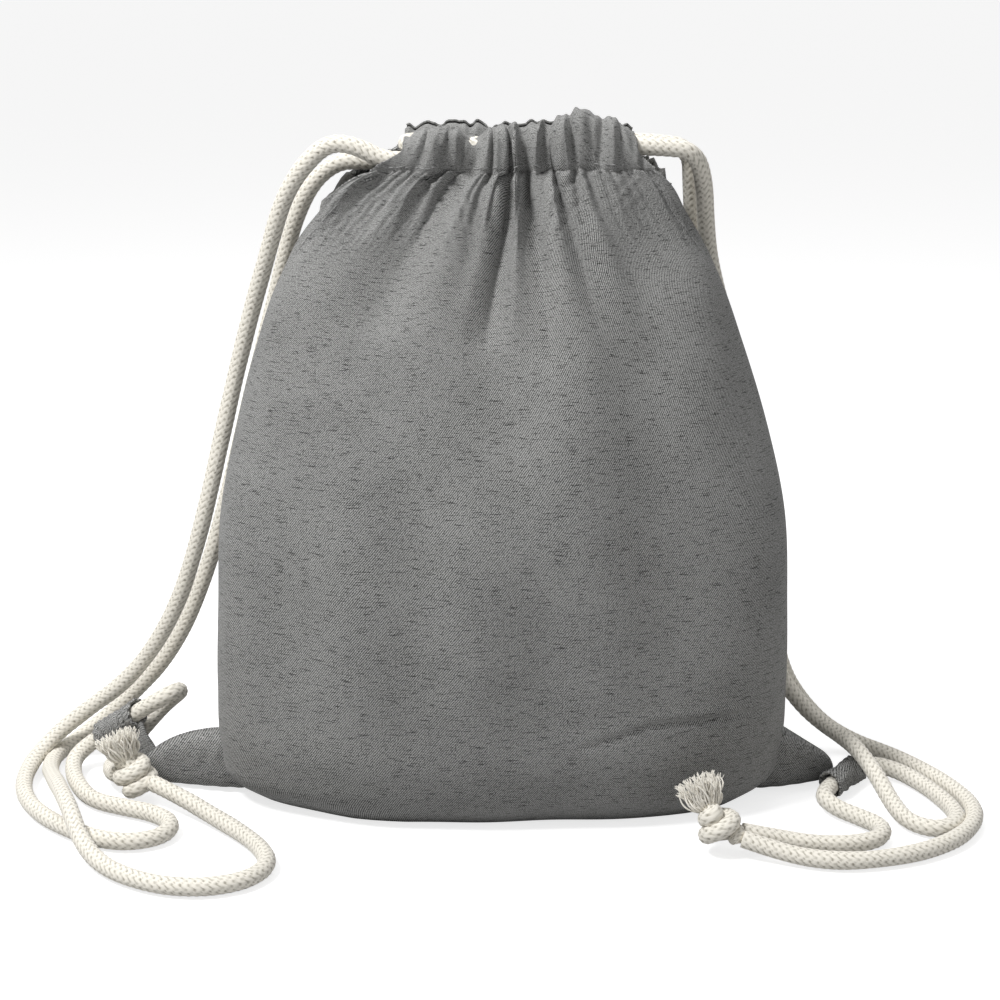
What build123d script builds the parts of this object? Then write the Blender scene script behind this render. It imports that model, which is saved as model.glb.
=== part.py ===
"""Drawstring backpack: two cloth panels, two gathered channels and two knotted drawcords.

Frame: +X to the wearer's left as the bag faces -Y, +Z up, millimetres. The origin is on the floor,
in the middle of the cloth bag. Every piece is its own solid and its own STEP file.
"""

import math
import os

from build123d import *

# Cloth bag, standing full.
CLOTH = 1.2  # thickness of the canvas, doubled over lining
SEAM_GAP = 0.3  # room between two cloth pieces, so that they never overlap
ROUNDNESS = 2.3  # exponent of the bag's section, 2 is an ellipse
SECTION_POINTS = 20
BAG_WIDTH = 307.0
BAG_DEPTH = 154.0
NECK_HEIGHT = 334.6
# Height, half width and half depth as shares of the full ones, and how far the middle is shifted.
BAG_SECTIONS = [
    (0.0, 0.86, 0.66, 0.0),
    (9.0, 0.95, 0.79, 0.0),
    (28.0, 0.99, 0.91, 0.5),
    (62.0, 1.00, 0.97, 1.0),
    (110.0, 0.99, 1.00, 1.5),
    (160.0, 0.97, 0.97, 1.5),
    (205.0, 0.905, 0.87, 1.0),
    (247.0, 0.823, 0.72, 0.0),
    (285.0, 0.728, 0.55, 0.0),
    (312.0, 0.625, 0.41, 1.0),
    (326.0, 0.535, 0.32, 4.0),
    (NECK_HEIGHT, 0.415, 0.25, 9.0),
]
SEAM_ALLOWANCE = 8.0  # how far the seams' turned-in cloth stands inside the bag
BOTTOM_SEAM_TOP = 26.0  # where the side seams give way to the bottom seam

# Side slits, through which the cords leave the channels.
SLIT_BOTTOM = 310.0
SLIT_GAP = 10.0
SLIT_HEM = 7.0

# Drawcords and the channels that hold two runs of cord each, one above the other.
CORD = 9.0
CORD_ROOM = 0.6
CHANNEL_LENGTH = 116.0
CHANNEL_MIDDLE_X = 10.0
CHANNEL_Y = 13.0  # middle of each channel, in front of and behind the mouth
HEM_ALLOWANCE = 11.0  # cloth turned in below each channel

# Bottom corners: the cloth past the filling, and the tabs sewn to it.
EAR_THICKNESS = 5.0  # of each panel's share
LEFT_EAR_REACH = 1.0
RIGHT_EAR_REACH = 0.5
TAB_LENGTH = 30.0
TAIL_WIDTH = 14.0
TAB_ROOM = 0.8

# Knots and the frayed ends above them.
KNOT_CORE = 10.6
KNOT_WRAP = 8.0  # radius of the wrap round the core, to the middle of the cord
TASSEL_LENGTH = 17.0
TASSEL_TIP = 9.5
TASSEL_NECK = 5.0

CHANNEL_INSIDE_Y = CORD + 2 * CORD_ROOM
CHANNEL_INSIDE_Z = 2 * CORD + 3 * CORD_ROOM
CHANNEL_Z = NECK_HEIGHT + SEAM_GAP + CLOTH + CHANNEL_INSIDE_Z / 2
CORD_STEP = (CORD + CORD_ROOM) / 2
LOW_RUN = CHANNEL_Z - CORD_STEP
HIGH_RUN = CHANNEL_Z + CORD_STEP
LEFT_TURN = CHANNEL_MIDDLE_X - CHANNEL_LENGTH / 2 - 15.0
RIGHT_TURN = CHANNEL_MIDDLE_X + CHANNEL_LENGTH / 2 + 15.0
BIG = 800.0

LEFT_KNOT = (-197.0, -19.0, 13.2)
RIGHT_KNOT = (110.0, -89.0, 13.2)
LEFT_TASSEL = ((-201.5, -18.0, 25.5), (-208.0, -14.5, 41.0))
RIGHT_TASSEL = ((105.0, -84.0, 25.0), (99.0, -77.0, 39.5))
LEFT_TAB = ((-225.0, 30.0, 17.0), (-196.0, 14.0, 40.0))
RIGHT_TAB = ((178.0, -17.0, 8.0), (196.0, 8.5, 7.6))
LEFT_TAB_FOOT = (-195.5, 9.4, 11.0)
RIGHT_TAB_FOOT = (179.5, -1.0, 6.0)

# From the knot, round the ear's tip and up behind it, back through the tab, round the small loop on
# the floor, up the bag's left side and through both channels, then down again behind the first run
# and round the large loop to the knot.
LEFT_ROUTE = [
    (-207.0, -11.0, 11.5),
    (-214.0, 3.0, 7.5),
    (-214.0, 19.0, 8.0),
    (-204.0, 30.0, 17.0),
    (-189.0, 34.0, 34.0),
    (-174.0, 25.0, 48.5),
    (-184.2, 7.5, 49.4),
    (-226.0, 30.6, 16.2),
    (-237.5, 25.0, 7.5),
    (-235.0, 7.0, 5.5),
    (-228.0, -12.0, 5.0),
    (-217.0, -31.0, 5.0),
    (-200.0, -40.0, 5.0),
    (-182.0, -48.0, 5.0),
    (-169.0, -62.0, 5.0),
    (-172.0, -79.0, 5.0),
    (-191.0, -87.0, 5.0),
    (-213.0, -77.0, 5.0),
    (-236.0, -56.0, 5.0),
    (-252.0, -32.0, 5.0),
    (-260.0, -5.0, 5.0),
    (-260.0, 23.0, 7.0),
    (-250.0, 39.0, 16.0),
    (-231.0, 40.0, 31.0),
    (-209.0, 36.0, 48.0),
    (-190.0, 29.0, 72.0),
    (-175.0, 23.0, 100.0),
    (-164.5, 18.0, 130.0),
    (-155.5, 17.0, 162.0),
    (-147.0, 20.0, 198.0),
    (-138.0, 20.0, 233.0),
    (-129.0, 15.0, 264.0),
    (-120.0, 7.0, 291.0),
    (-111.0, -2.0, 313.0),
    (-100.0, -8.0, 329.0),
    (-86.0, -12.0, 339.0),
    (-71.0, -CHANNEL_Y, LOW_RUN),
    (RIGHT_TURN, -CHANNEL_Y - 0.2, LOW_RUN),
    (RIGHT_TURN, CHANNEL_Y + 0.2, LOW_RUN),
    (-70.0, CHANNEL_Y, LOW_RUN),
    (-84.0, 14.0, 338.0),
    (-97.0, 17.0, 327.0),
    (-106.0, 23.0, 310.0),
    (-113.0, 30.0, 288.0),
    (-120.0, 36.0, 262.0),
    (-129.0, 40.0, 231.0),
    (-138.0, 41.0, 197.0),
    (-147.0, 40.0, 162.0),
    (-156.0, 40.0, 130.0),
    (-166.0, 42.0, 101.0),
    (-177.0, 45.0, 76.0),
    (-191.0, 50.0, 54.0),
    (-207.0, 55.0, 36.0),
    (-224.0, 57.0, 20.0),
    (-240.0, 53.0, 8.0),
    (-250.0, 37.0, 5.0),
    (-249.0, 12.0, 6.0),
    (-241.0, -14.0, 11.0),
    (-232.0, -42.0, 17.5),
    (-221.0, -70.0, 17.5),
    (-211.0, -93.0, 9.0),
    (-198.0, -112.0, 5.0),
    (-181.0, -128.0, 5.0),
    (-161.0, -138.0, 5.0),
    (-140.0, -139.0, 5.0),
    (-122.0, -130.0, 5.0),
    (-114.0, -113.0, 5.0),
    (-120.0, -93.0, 5.0),
    (-134.0, -72.0, 5.0),
    (-151.0, -53.0, 6.0),
    (-168.0, -38.0, 9.5),
    (-185.6, -25.6, 12.6),
]

# The same the other way about, on the right: over the tab, out along the floor and back through it.
RIGHT_ROUTE = [
    (122.6, -86.0, 11.0),
    (140.0, -84.0, 6.5),
    (160.0, -88.0, 5.0),
    (180.0, -88.0, 5.0),
    (194.0, -81.0, 5.0),
    (198.0, -67.0, 5.0),
    (188.0, -54.0, 5.0),
    (176.0, -43.0, 6.0),
    (170.0, -28.3, 8.2),
    (202.6, 17.8, 7.4),
    (219.0, 9.0, 6.0),
    (229.0, -8.0, 5.0),
    (235.0, -26.0, 5.0),
    (239.0, -44.0, 5.0),
    (238.0, -60.0, 5.0),
    (226.0, -71.0, 5.0),
    (212.0, -61.0, 5.0),
    (207.0, -41.0, 7.0),
    (202.0, -20.0, 15.0),
    (195.0, -1.0, 22.0),
    (189.0, 16.0, 23.0),
    (181.0, 32.0, 24.0),
    (170.0, 41.0, 32.0),
    (158.0, 46.0, 47.0),
    (149.0, 50.0, 69.0),
    (144.0, 54.0, 97.0),
    (140.0, 56.0, 128.0),
    (137.0, 56.0, 160.0),
    (132.0, 55.0, 190.0),
    (125.0, 53.0, 218.0),
    (117.0, 50.0, 243.0),
    (110.0, 46.0, 266.0),
    (104.0, 40.0, 288.0),
    (101.0, 32.0, 308.0),
    (99.0, 23.0, 326.0),
    (98.0, 16.0, 342.0),
    (87.0, CHANNEL_Y, HIGH_RUN),
    (LEFT_TURN, CHANNEL_Y + 0.2, HIGH_RUN),
    (LEFT_TURN, -CHANNEL_Y - 0.2, HIGH_RUN),
    (88.0, -CHANNEL_Y, HIGH_RUN),
    (99.0, -10.0, 343.0),
    (104.0, 1.0, 328.0),
    (106.0, 12.0, 310.0),
    (109.0, 22.0, 290.0),
    (115.0, 29.0, 267.0),
    (123.0, 34.0, 244.0),
    (131.0, 37.0, 219.0),
    (138.0, 39.0, 191.0),
    (143.0, 40.0, 161.0),
    (147.0, 41.0, 129.0),
    (150.0, 42.0, 98.0),
    (154.0, 46.0, 70.0),
    (161.0, 53.0, 47.0),
    (172.0, 58.0, 29.0),
    (186.0, 58.0, 14.0),
    (203.0, 51.0, 6.0),
    (219.0, 36.0, 5.0),
    (232.0, 15.0, 5.0),
    (243.0, -9.0, 5.0),
    (250.0, -34.0, 5.0),
    (248.0, -57.0, 5.0),
    (236.0, -78.0, 5.0),
    (218.0, -94.0, 5.0),
    (197.0, -104.0, 5.0),
    (175.0, -109.0, 5.0),
    (155.0, -106.0, 5.0),
    (138.0, -99.0, 6.5),
    (122.2, -93.6, 10.2),
]


def outline(z, width_share, depth_share, shift, inset):
    """One level section of the bag, drawn in by `inset`."""
    half_x = BAG_WIDTH / 2 * width_share - inset
    half_y = BAG_DEPTH / 2 * depth_share - inset
    points = []
    for i in range(SECTION_POINTS):
        angle = 2 * math.pi * (i + 0.5) / SECTION_POINTS
        c, s = math.cos(angle), math.sin(angle)
        x = half_x * math.copysign(abs(c) ** (2 / ROUNDNESS), c)
        y = half_y * math.copysign(abs(s) ** (2 / ROUNDNESS), s)
        points.append((shift + x, y, z))
    return make_face(Spline(*points, periodic=True))


def pouch(inset):
    """The solid inside the cloth at `inset`, open upwards past the neck when it is drawn in."""
    levels = [list(level) for level in BAG_SECTIONS]
    levels[0][0] += inset
    if inset:
        levels[-1][0] += 2 * CLOTH
    return loft([outline(*level, inset) for level in levels])


def block(low, high):
    """A box from its lowest to its highest corner."""
    size = [b - a for a, b in zip(low, high)]
    middle = [(a + b) / 2 for a, b in zip(low, high)]
    return Pos(*middle) * Box(*size)


def side_block(side, y_from, y_to, z_from, z_to):
    """A block on one side of the middle, from x = 0 outwards."""
    x_from, x_to = sorted((0.0, side * BIG))
    return block((x_from, y_from, z_from), (x_to, y_to, z_to))


def ear(side, front):
    """A bottom corner of one panel, flat past the filling."""
    half = BAG_WIDTH / 2
    points = [
        (half - 12, 46),
        (half + 10, 36),
        (half + 26, 30),
        (half + 40, 22),
        (half + 45, 12),
        (half + 41, 3),
        (half + 24, 0),
        (half - 25, 0),
        (half - 25, 30),
    ]
    reach = LEFT_EAR_REACH if side < 0 else RIGHT_EAR_REACH
    outer = [(side * (half + (x - half) * (reach if x > half else 1)), z) for x, z in points]
    face = make_face(Plane.XZ * Polyline(*outer, close=True))
    start = SEAM_GAP / 2
    slab = extrude(face, amount=EAR_THICKNESS, both=True)
    if front:
        return slab & block((-BIG, -EAR_THICKNESS, -BIG), (BIG, -start, BIG))
    return slab & block((-BIG, start, -BIG), (BIG, EAR_THICKNESS, BIG))


def half_space(front):
    """Everything on one side of the seam plane, clear of the seam."""
    if front:
        return block((-BIG, -BIG, -BIG), (BIG, -SEAM_GAP / 2, BIG))
    return block((-BIG, SEAM_GAP / 2, -BIG), (BIG, BIG, BIG))


def slits():
    """The gaps at the top of both side seams."""
    return block((-BIG, -SLIT_GAP / 2, SLIT_BOTTOM), (BIG, SLIT_GAP / 2, BIG))


def panel(shell, inside, front):
    """Half of the bag's cloth with its two bottom corners."""
    cloth = shell & half_space(front)
    corners = ear(-1, front) + ear(1, front)
    return (cloth + (corners - inside)) - slits()


def seam(inside, deeper, side):
    """The turned-in allowance of a side seam, side 0 being the bottom."""
    fin = (inside - deeper) & block((-BIG, -CLOTH, 0), (BIG, CLOTH, SLIT_BOTTOM - SEAM_GAP))
    if side:
        return fin & side_block(side, -BIG, BIG, BOTTOM_SEAM_TOP + SEAM_GAP, BIG)
    return fin & block((-BIG, -BIG, 0), (BIG, BIG, BOTTOM_SEAM_TOP))


def slit_hem(inside, deeper, side, front):
    """The edge of a panel turned in along one side slit."""
    near = SLIT_GAP / 2 + SEAM_GAP
    y_from, y_to = (-near - SLIT_HEM, -near) if front else (near, near + SLIT_HEM)
    top = NECK_HEIGHT - HEM_ALLOWANCE - SEAM_GAP
    return (inside - deeper) & side_block(side, y_from, y_to, SLIT_BOTTOM, top)


def hem_allowance(inside, deeper, front):
    """The cloth of a channel's folded edge, turned in against its panel."""
    near = SLIT_GAP / 2 + SEAM_GAP
    low, high = NECK_HEIGHT - HEM_ALLOWANCE, NECK_HEIGHT
    if front:
        keep = block((-BIG, -BIG, low), (BIG, -near, high))
    else:
        keep = block((-BIG, near, low), (BIG, BIG, high))
    return (inside - deeper) & keep


def stadium(width, height):
    """An upright slot shape across X."""
    return Plane.YZ * SlotOverall(height, width, rotation=90)


def channel(front):
    """A casing of cloth round two runs of cord."""
    outer = stadium(CHANNEL_INSIDE_Y + 2 * CLOTH, CHANNEL_INSIDE_Z + 2 * CLOTH)
    inner = stadium(CHANNEL_INSIDE_Y, CHANNEL_INSIDE_Z)
    tube = extrude(outer, amount=CHANNEL_LENGTH) - extrude(inner, amount=CHANNEL_LENGTH)
    y = -CHANNEL_Y if front else CHANNEL_Y
    return Pos(CHANNEL_MIDDLE_X - CHANNEL_LENGTH / 2, y, CHANNEL_Z) * tube


def corner_radius(before, corner, after):
    """The largest arc that the two runs at a corner leave room for."""
    a, b = Vector(*corner) - Vector(*before), Vector(*after) - Vector(*corner)
    turn = math.radians(a.get_angle(b))
    return 0.45 * min(a.length, b.length) / math.tan(turn / 2)


def drawcord(name, route):
    """A round cord along its route, with its radii and its length printed."""
    radii = [corner_radius(*route[i - 1 : i + 2]) for i in range(1, len(route) - 1)]
    path = FilletPolyline(*route, radius=radii)
    section = Plane(origin=path @ 0, z_dir=path % 0) * Circle(CORD / 2)
    tube = sweep(section, path=path)
    expected = math.pi * (CORD / 2) ** 2 * path.length
    share = tube.volume / expected
    tight = [round(r, 1) for r in radii if r < 3 * CORD]
    print(name, "length", round(path.length), "volume share", round(share, 5), "tight", tight)
    return tube


def knot(centre, tilt):
    """A lump of tied cord, one wrap standing out round its core."""
    wrap = Rot(tilt, 35, 0) * Torus(KNOT_WRAP, CORD / 2)
    return Pos(*centre) * (Sphere(KNOT_CORE) + wrap)


def tassel(neck, tip):
    """The frayed cord ends above a knot, as a fan."""
    along = Vector(*tip) - Vector(*neck)
    fan = Cone(TASSEL_NECK, TASSEL_TIP, TASSEL_LENGTH, align=(Align.CENTER, Align.CENTER, Align.MIN))
    return Plane(origin=neck, z_dir=along) * fan


def corner_tab(ends, foot):
    """A cloth loop round the cord, its two tails sewn to the bag's corner at `foot`."""
    low, high = Vector(*ends[0]), Vector(*ends[1])
    middle, along = (low + high) / 2, (high - low).normalized()
    reach = Vector(*foot) - middle
    shift = reach.dot(along)
    across = reach - along * shift
    bore = CORD / 2 + TAB_ROOM
    place = Plane(origin=middle, x_dir=across, z_dir=along)
    sleeve = Cylinder(bore + CLOTH, TAB_LENGTH)
    tails = Pos(across.length / 2, 0, shift) * Box(across.length, 2 * CLOTH, TAIL_WIDTH)
    return place * (sleeve + tails - Cylinder(bore, 2 * TAB_LENGTH))


def make_parts():
    """Every piece by its name."""
    outside = pouch(0.0)
    inside = pouch(CLOTH)
    lining = pouch(CLOTH + SEAM_GAP)
    folded = pouch(2 * CLOTH + SEAM_GAP)
    allowance = pouch(CLOTH + SEAM_GAP + SEAM_ALLOWANCE)
    shell = outside - inside
    parts = {
        "front_panel": panel(shell, inside, True),
        "back_panel": panel(shell, inside, False),
        "front_channel": channel(True),
        "back_channel": channel(False),
        "front_hem_allowance": hem_allowance(lining, folded, True),
        "back_hem_allowance": hem_allowance(lining, folded, False),
        "left_side_seam": seam(lining, allowance, -1),
        "right_side_seam": seam(lining, allowance, 1),
        "bottom_seam": seam(lining, allowance, 0),
        "left_drawcord": drawcord("left_drawcord", LEFT_ROUTE),
        "right_drawcord": drawcord("right_drawcord", RIGHT_ROUTE),
        "left_knot": knot(LEFT_KNOT, 10.0),
        "right_knot": knot(RIGHT_KNOT, 40.0),
        "left_tassel": tassel(*LEFT_TASSEL),
        "right_tassel": tassel(*RIGHT_TASSEL),
        "left_corner_tab": corner_tab(LEFT_TAB, LEFT_TAB_FOOT),
        "right_corner_tab": corner_tab(RIGHT_TAB, RIGHT_TAB_FOOT),
    }
    for side, word in ((-1, "left"), (1, "right")):
        parts[f"front_{word}_slit_hem"] = slit_hem(lining, folded, side, True)
        parts[f"back_{word}_slit_hem"] = slit_hem(lining, folded, side, False)
    return parts


os.makedirs("parts", exist_ok=True)
for part_name, solid in make_parts().items():
    export_step(solid, f"parts/{part_name}.step")
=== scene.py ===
"""Looks of a drawstring backpack: canvas with real pleats, braided cords, knots and frayed ends.

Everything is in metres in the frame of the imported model: the bag faces -Y and stands on z = 0.
"""

import math
import random

import bpy
import numpy as np
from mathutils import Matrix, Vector


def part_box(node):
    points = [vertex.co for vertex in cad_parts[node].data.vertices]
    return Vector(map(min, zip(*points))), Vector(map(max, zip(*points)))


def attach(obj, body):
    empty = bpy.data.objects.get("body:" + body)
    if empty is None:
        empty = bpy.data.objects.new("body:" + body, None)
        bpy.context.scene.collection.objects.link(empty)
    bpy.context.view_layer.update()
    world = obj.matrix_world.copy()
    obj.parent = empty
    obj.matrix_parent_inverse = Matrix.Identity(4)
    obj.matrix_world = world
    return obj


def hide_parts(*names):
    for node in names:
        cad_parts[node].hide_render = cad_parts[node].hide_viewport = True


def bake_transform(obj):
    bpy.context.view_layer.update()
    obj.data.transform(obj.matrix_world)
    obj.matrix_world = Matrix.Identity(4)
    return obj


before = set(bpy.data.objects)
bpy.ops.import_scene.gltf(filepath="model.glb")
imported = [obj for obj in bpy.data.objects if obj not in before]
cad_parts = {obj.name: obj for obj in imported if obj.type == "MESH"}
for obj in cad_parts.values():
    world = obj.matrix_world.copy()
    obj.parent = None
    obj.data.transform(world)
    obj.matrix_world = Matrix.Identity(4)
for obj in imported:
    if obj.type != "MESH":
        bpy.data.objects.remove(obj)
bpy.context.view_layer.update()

# Cloth bag, as the construction has it: height, shares of half width and half depth, sideways shift.
BAG_WIDTH = 0.307
BAG_DEPTH = 0.154
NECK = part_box("front_panel")[1].z
ROUNDNESS = 2.3
CLOTH = 0.0011
BAG_SECTIONS = np.array([
    (0.000, 0.86, 0.66, 0.000),
    (0.009, 0.95, 0.79, 0.000),
    (0.028, 0.99, 0.91, 0.0005),
    (0.062, 1.00, 0.97, 0.001),
    (0.110, 0.99, 1.00, 0.0015),
    (0.160, 0.97, 0.97, 0.0015),
    (0.205, 0.905, 0.87, 0.001),
    (0.247, 0.823, 0.72, 0.000),
    (0.285, 0.728, 0.55, 0.000),
    (0.312, 0.625, 0.41, 0.001),
    (0.326, 0.535, 0.32, 0.004),
    (NECK, 0.415, 0.25, 0.009),
])
COLUMNS = 250
WALL_ROWS = 132
WALL_TOP = 0.3300
CASING_ROWS = 28
BASE_ROWS = 8
SLIT_FOOT = 0.282
SLIT_OPENING = 0.105
SLIT_BAND = 0.0008

# Gathered mouth.
FRONT_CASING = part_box("front_channel")
CASING_LEFT = FRONT_CASING[0].x
CASING_RIGHT = FRONT_CASING[1].x
CASING_Y = -(FRONT_CASING[0].y + FRONT_CASING[1].y) / 2

# Drawcords.
CORD = 0.009
BRAID_COLUMNS = 12
BRAID_PITCH = 0.0040
ROPE_AROUND = 36
ROPE_STEP = 0.00095

# Cloth turned in at the mouth and at the side slits, in rows and columns of a panel.
HEM_ROW = BASE_ROWS + WALL_ROWS - 1
HEM_DEEP = 9
SLIT_WIDE = 14
INSIDE = 0.0024
STITCH_ROW = HEM_ROW + 4
STITCH_COLUMN = 11
SKIN_LIFT = 0.0002

# The bottom corners: how far each reaches past the filling, its height, its fullness.
EAR_OVERLAP = 0.014
LEFT_EAR = (0.052, 0.034, 0.0100)
RIGHT_EAR = (0.030, 0.044, 0.0120)

LEFT_ROUTE = [
    (-0.207, -0.011, 0.0115),
    (-0.214, 0.003, 0.0075),
    (-0.214, 0.019, 0.008),
    (-0.204, 0.03, 0.017),
    (-0.189, 0.034, 0.034),
    (-0.174, 0.025, 0.0485),
    (-0.1842, 0.0075, 0.0494),
    (-0.226, 0.0306, 0.0162),
    (-0.2375, 0.025, 0.0075),
    (-0.235, 0.007, 0.0055),
    (-0.228, -0.012, 0.005),
    (-0.217, -0.031, 0.005),
    (-0.2, -0.04, 0.005),
    (-0.182, -0.048, 0.005),
    (-0.169, -0.062, 0.005),
    (-0.172, -0.079, 0.005),
    (-0.191, -0.087, 0.005),
    (-0.213, -0.077, 0.005),
    (-0.236, -0.056, 0.005),
    (-0.252, -0.032, 0.005),
    (-0.26, -0.005, 0.005),
    (-0.26, 0.023, 0.007),
    (-0.25, 0.039, 0.016),
    (-0.231, 0.04, 0.031),
    (-0.209, 0.036, 0.048),
    (-0.19, 0.029, 0.072),
    (-0.175, 0.023, 0.1),
    (-0.1645, 0.018, 0.13),
    (-0.1555, 0.017, 0.162),
    (-0.147, 0.02, 0.198),
    (-0.138, 0.02, 0.233),
    (-0.129, 0.015, 0.264),
    (-0.12, 0.007, 0.291),
    (-0.111, -0.002, 0.319),
    (-0.1, -0.008, 0.337),
    (-0.086, -0.012, 0.35),
    (-0.071, -0.013, 0.348),
    (-0.055, -0.013, 0.3388),
    (0.0406, -0.0132, 0.3388),
    (0.067, -0.0132, 0.3388),
    (0.067, 0.0132, 0.3388),
    (0.0406, 0.0132, 0.3388),
    (-0.07, 0.013, 0.3388),
    (-0.084, 0.014, 0.338),
    (-0.097, 0.017, 0.327),
    (-0.106, 0.023, 0.31),
    (-0.113, 0.03, 0.288),
    (-0.12, 0.036, 0.262),
    (-0.129, 0.04, 0.231),
    (-0.138, 0.041, 0.197),
    (-0.147, 0.04, 0.162),
    (-0.156, 0.04, 0.13),
    (-0.166, 0.042, 0.101),
    (-0.177, 0.045, 0.076),
    (-0.191, 0.05, 0.054),
    (-0.207, 0.055, 0.036),
    (-0.224, 0.057, 0.02),
    (-0.24, 0.053, 0.008),
    (-0.25, 0.037, 0.005),
    (-0.249, 0.012, 0.006),
    (-0.241, -0.014, 0.011),
    (-0.232, -0.042, 0.0175),
    (-0.221, -0.07, 0.0175),
    (-0.211, -0.093, 0.009),
    (-0.198, -0.112, 0.005),
    (-0.181, -0.128, 0.005),
    (-0.161, -0.138, 0.005),
    (-0.14, -0.139, 0.005),
    (-0.122, -0.13, 0.005),
    (-0.114, -0.113, 0.005),
    (-0.12, -0.093, 0.005),
    (-0.134, -0.072, 0.005),
    (-0.151, -0.053, 0.006),
    (-0.168, -0.038, 0.0095),
    (-0.1856, -0.0256, 0.0126),
]

RIGHT_ROUTE = [
    (0.1226, -0.086, 0.011),
    (0.14, -0.084, 0.0065),
    (0.16, -0.088, 0.005),
    (0.18, -0.088, 0.005),
    (0.194, -0.081, 0.005),
    (0.198, -0.067, 0.005),
    (0.188, -0.054, 0.005),
    (0.176, -0.043, 0.006),
    (0.17, -0.0283, 0.0082),
    (0.2026, 0.0178, 0.0074),
    (0.219, 0.009, 0.006),
    (0.229, -0.008, 0.005),
    (0.235, -0.026, 0.005),
    (0.239, -0.044, 0.005),
    (0.238, -0.06, 0.005),
    (0.226, -0.071, 0.005),
    (0.212, -0.061, 0.005),
    (0.207, -0.041, 0.007),
    (0.202, -0.02, 0.015),
    (0.195, -0.001, 0.022),
    (0.189, 0.016, 0.023),
    (0.181, 0.032, 0.024),
    (0.17, 0.041, 0.032),
    (0.158, 0.046, 0.047),
    (0.149, 0.05, 0.069),
    (0.144, 0.054, 0.097),
    (0.14, 0.056, 0.128),
    (0.137, 0.056, 0.16),
    (0.132, 0.055, 0.19),
    (0.125, 0.053, 0.218),
    (0.117, 0.05, 0.243),
    (0.11, 0.046, 0.266),
    (0.104, 0.04, 0.288),
    (0.101, 0.032, 0.308),
    (0.099, 0.023, 0.326),
    (0.098, 0.016, 0.342),
    (0.087, 0.013, 0.3484),
    (-0.0206, 0.0132, 0.3484),
    (-0.047, 0.0132, 0.3484),
    (-0.047, -0.0132, 0.3484),
    (-0.0206, -0.0132, 0.3484),
    (0.088, -0.013, 0.3484),
    (0.099, -0.01, 0.343),
    (0.104, 0.001, 0.328),
    (0.106, 0.012, 0.31),
    (0.109, 0.022, 0.29),
    (0.115, 0.029, 0.267),
    (0.123, 0.034, 0.244),
    (0.131, 0.037, 0.219),
    (0.138, 0.039, 0.191),
    (0.143, 0.04, 0.161),
    (0.147, 0.041, 0.129),
    (0.15, 0.042, 0.098),
    (0.154, 0.046, 0.07),
    (0.161, 0.053, 0.047),
    (0.172, 0.058, 0.029),
    (0.186, 0.058, 0.014),
    (0.203, 0.051, 0.006),
    (0.219, 0.036, 0.005),
    (0.232, 0.015, 0.005),
    (0.243, -0.009, 0.005),
    (0.25, -0.034, 0.005),
    (0.248, -0.057, 0.005),
    (0.236, -0.078, 0.005),
    (0.218, -0.094, 0.005),
    (0.197, -0.104, 0.005),
    (0.175, -0.109, 0.005),
    (0.155, -0.106, 0.005),
    (0.138, -0.099, 0.0065),
    (0.1222, -0.0936, 0.0102),
]


# ---------------------------------------------------------------- numbers

def hermite(x, xs, ys):
    """A smooth curve through (xs, ys), read at x."""
    xs, ys = np.asarray(xs, float), np.asarray(ys, float)
    slope = np.gradient(ys, xs)
    i = np.clip(np.searchsorted(xs, x) - 1, 0, len(xs) - 2)
    h = xs[i + 1] - xs[i]
    t = np.clip((x - xs[i]) / h, 0, 1)
    a = (1 + 2 * t) * (1 - t) ** 2 * ys[i] + t * (1 - t) ** 2 * h * slope[i]
    return a + t * t * (3 - 2 * t) * ys[i + 1] + t * t * (t - 1) * h * slope[i + 1]


def step(x, low, high):
    """0 below low, 1 above high, smooth between."""
    t = np.clip((x - low) / (high - low), 0, 1)
    return t * t * (3 - 2 * t)


def waves(x, z, seed, count, low, high):
    """A gentle sum of sine waves over x and z, from about -1 to 1."""
    draw = random.Random(seed)
    total = np.zeros(np.broadcast(x, z).shape)
    for _ in range(count):
        fx, fz = draw.uniform(low, high), draw.uniform(low, high) * 0.35
        total += np.sin(fx * x + fz * z * draw.choice((-1, 1)) + draw.uniform(0, 2 * math.pi))
    return total / math.sqrt(count)


# ---------------------------------------------------------------- meshes

def new_piece(name, points, faces, uvs):
    """A mesh object at the origin, with a UV map in metres."""
    mesh = bpy.data.meshes.new(name)
    mesh.from_pydata([tuple(p) for p in points], [], faces)
    layer = mesh.uv_layers.new(name="cloth")
    loops = np.zeros(len(mesh.loops), np.int32)
    mesh.loops.foreach_get("vertex_index", loops)
    layer.data.foreach_set("uv", np.asarray(uvs, np.float32)[loops].ravel())
    mesh.polygons.foreach_set("use_smooth", [True] * len(mesh.polygons))
    piece = bpy.data.objects.new(name, mesh)
    bpy.context.collection.objects.link(piece)
    return piece


def grid_faces(rows, columns, start=0, flip=False, around=False):
    """Four-sided faces of a grid, closed around its columns if asked."""
    faces = []
    last = columns if around else columns - 1
    for r in range(rows - 1):
        for c in range(last):
            a, b = start + r * columns + c, start + r * columns + (c + 1) % columns
            quad = (a, b, b + columns, a + columns)
            faces.append(quad[::-1] if flip else quad)
    return faces


def finished(piece):
    """The piece with its modifiers applied, at the origin."""
    graph = bpy.context.evaluated_depsgraph_get()
    graph.update()
    mesh = bpy.data.meshes.new_from_object(piece.evaluated_get(graph))
    piece.modifiers.clear()
    piece.data = mesh
    return piece


def thicken(piece, thickness, offset=-1.0):
    """A wall of cloth from a single sheet."""
    solid = piece.modifiers.new("wall", "SOLIDIFY")
    solid.thickness = thickness
    solid.offset = offset
    solid.use_even_offset = False
    return finished(piece)


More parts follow.
